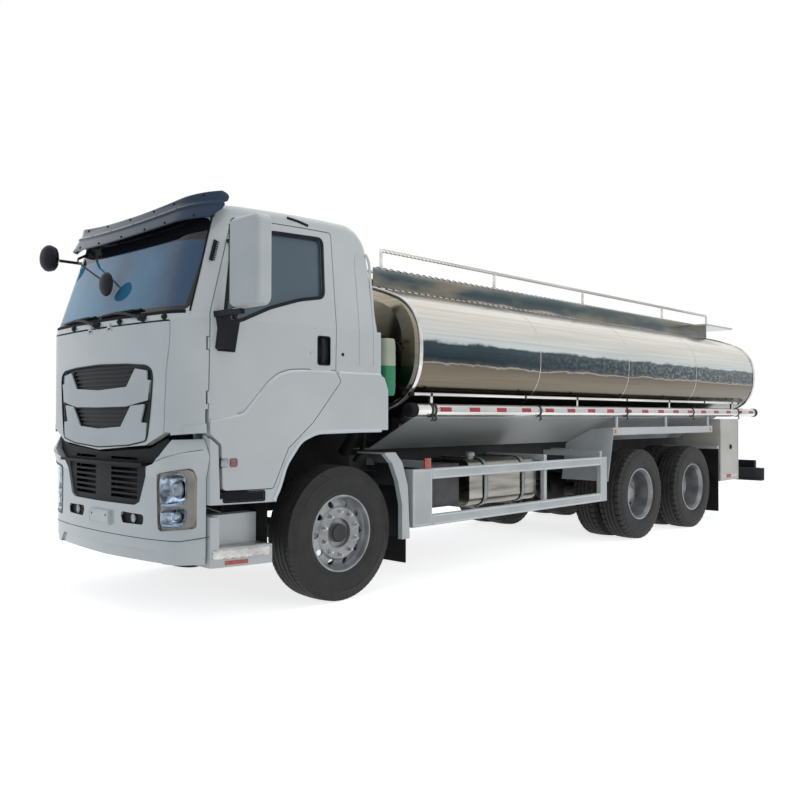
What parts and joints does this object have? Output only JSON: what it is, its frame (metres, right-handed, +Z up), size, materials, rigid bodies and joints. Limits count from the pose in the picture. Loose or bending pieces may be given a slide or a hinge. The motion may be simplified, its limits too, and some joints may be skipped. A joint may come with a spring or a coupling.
{
  "type": "tanker truck",
  "caption": "Rigid road tanker: hollow cab with opening doors and front flap, oval tank with hinged manhole lids and a catwalk, side guards, steered front wheels and twin rear wheels.",
  "frame": {"origin": "middle of the bounding box's base, on the ground under the tyres", "axes": "+X forwards along the truck, +Y to its left, +Z up"},
  "size_m": [9.8198, 3.34, 3.03],
  "materials": {
    "cab_paint": "gloss",
    "cab_inside": "matt",
    "black_plastic": "matt",
    "glass": "clear tint",
    "visor": "gloss",
    "chassis_paint": "satin",
    "cast": "rough",
    "rim_silver": "satin",
    "tyre": "matt",
    "tank_steel": "polished",
    "bright_steel": "satin",
    "body_white": "gloss",
    "guard_grey": "satin",
    "fuel_alu": "polished",
    "rubber": "matt",
    "lamp": "gloss",
    "tail_red": "gloss",
    "seat_cloth": "woven",
    "coolant": "matt"
  },
  "bodies": {
    "chassis": {"frame_rails": "chassis_paint", "axles": "cast", "leaf_springs": "chassis_paint", "engine_block": "cast", "driveline": "cast", "fuel_tank": "fuel_alu", "chassis_boxes": "chassis_paint", "side_guards": "guard_grey", "tank_saddles": "chassis_paint", "tank_shell": "tank_steel", "tank_skirts": "body_white", "side_tubes": "bright_steel", "catwalk": "bright_steel", "hand_rails": "bright_steel", "rear_mudguards": "body_white", "mud_flaps": "rubber", "rear_cabinet": "body_white", "rear_underrun": "chassis_paint", "tail_lamps": "tail_red", "rear_ladder": "bright_steel", "discharge_pipe": "bright_steel", "cab_shell": "cab_paint", "windscreen": "glass", "dashboard": "cab_inside", "seats": "seat_cloth", "front_bumper": "cab_paint", "lower_grille": "black_plastic", "head_lamps": "lamp", "sun_visor": "visor", "wipers": "black_plastic", "steps_and_wings": "cab_paint", "coolant_tank": "coolant"},
    "door_left": {"door_left": "cab_paint", "door_glass_left": "glass", "mirror_left": "black_plastic"},
    "door_right": {"door_right": "cab_paint", "door_glass_right": "glass", "mirror_right": "black_plastic"},
    "front_flap": {"front_flap": "cab_paint", "upper_grille": "black_plastic"},
    "lid_front": {"manhole_lid_front": "bright_steel"},
    "lid_rear": {"manhole_lid_rear": "bright_steel"},
    "cabinet_door": {"cabinet_door": "body_white"},
    "knuckle_left": {"knuckle_left": "cast"},
    "knuckle_right": {"knuckle_right": "cast"},
    "tie_rod": {"tie_rod": "cast"},
    "wheel_front_left": {"tyre_front_left": "tyre", "rim_front_left": "rim_silver"},
    "wheel_front_right": {"tyre_front_right": "tyre", "rim_front_right": "rim_silver"},
    "wheels_middle_left": {"tyres_middle_left": "tyre", "rims_middle_left": "rim_silver"},
    "wheels_middle_right": {"tyres_middle_right": "tyre", "rims_middle_right": "rim_silver"},
    "wheels_rear_left": {"tyres_rear_left": "tyre", "rims_rear_left": "rim_silver"},
    "wheels_rear_right": {"tyres_rear_right": "tyre", "rims_rear_right": "rim_silver"}
  },
  "joints": [
    {"name": "steer_left", "type": "hinge", "parent": "chassis", "child": "knuckle_left", "pos_m": [3.48, 0.83, 0.525], "axis": [0, 0, 1], "range_deg": [-38, 38]},
    {"name": "steer_right", "type": "hinge", "parent": "chassis", "child": "knuckle_right", "pos_m": [3.48, -0.83, 0.525], "axis": [0, 0, 1], "range_deg": [-38, 38]},
    {"name": "tie_rod_pivot", "type": "hinge", "parent": "knuckle_left", "child": "tie_rod", "pos_m": [3.27, 0.83, 0.38], "axis": [0, 0, 1], "range_deg": [-38, 38]},
    {"name": "wheel_front_left_spin", "type": "hinge", "parent": "knuckle_left", "child": "wheel_front_left", "pos_m": [3.48, 1.034, 0.525], "axis": [0, 1, 0], "continuous": true},
    {"name": "wheel_front_right_spin", "type": "hinge", "parent": "knuckle_right", "child": "wheel_front_right", "pos_m": [3.48, -1.034, 0.525], "axis": [0, 1, 0], "continuous": true},
    {"name": "wheels_middle_left_spin", "type": "hinge", "parent": "chassis", "child": "wheels_middle_left", "pos_m": [-1.12, 0.924, 0.525], "axis": [0, 1, 0], "continuous": true},
    {"name": "wheels_middle_right_spin", "type": "hinge", "parent": "chassis", "child": "wheels_middle_right", "pos_m": [-1.12, -0.924, 0.525], "axis": [0, 1, 0], "continuous": true},
    {"name": "wheels_rear_left_spin", "type": "hinge", "parent": "chassis", "child": "wheels_rear_left", "pos_m": [-2.49, 0.924, 0.525], "axis": [0, 1, 0], "continuous": true},
    {"name": "wheels_rear_right_spin", "type": "hinge", "parent": "chassis", "child": "wheels_rear_right", "pos_m": [-2.49, -0.924, 0.525], "axis": [0, 1, 0], "continuous": true},
    {"name": "door_left_hinge", "type": "hinge", "parent": "chassis", "child": "door_left", "pos_m": [4.637, 1.095, 1.6], "axis": [0, 0, -1], "range_deg": [0, 65]},
    {"name": "door_right_hinge", "type": "hinge", "parent": "chassis", "child": "door_right", "pos_m": [4.637, -1.095, 1.6], "axis": [0, 0, 1], "range_deg": [0, 65]},
    {"name": "front_flap_lift", "type": "hinge", "parent": "chassis", "child": "front_flap", "pos_m": [4.873, 0, 2.086], "axis": [0, -1, 0], "range_deg": [0, 75]},
    {"name": "lid_front_lift", "type": "hinge", "parent": "chassis", "child": "lid_front", "pos_m": [0.98, 0, 2.749], "axis": [0, 1, 0], "range_deg": [0, 100]},
    {"name": "lid_rear_lift", "type": "hinge", "parent": "chassis", "child": "lid_rear", "pos_m": [-2.12, 0, 2.749], "axis": [0, 1, 0], "range_deg": [0, 100]},
    {"name": "cabinet_door_hinge", "type": "hinge", "parent": "chassis", "child": "cabinet_door", "pos_m": [-3.31, 1.236, 0.97], "axis": [0, 0, -1], "range_deg": [0, 110]}
  ],
  "couplings": [
    {"joint": "steer_right", "follows": "steer_left", "ratio": 1},
    {"joint": "tie_rod_pivot", "follows": "steer_left", "ratio": -1}
  ]
}
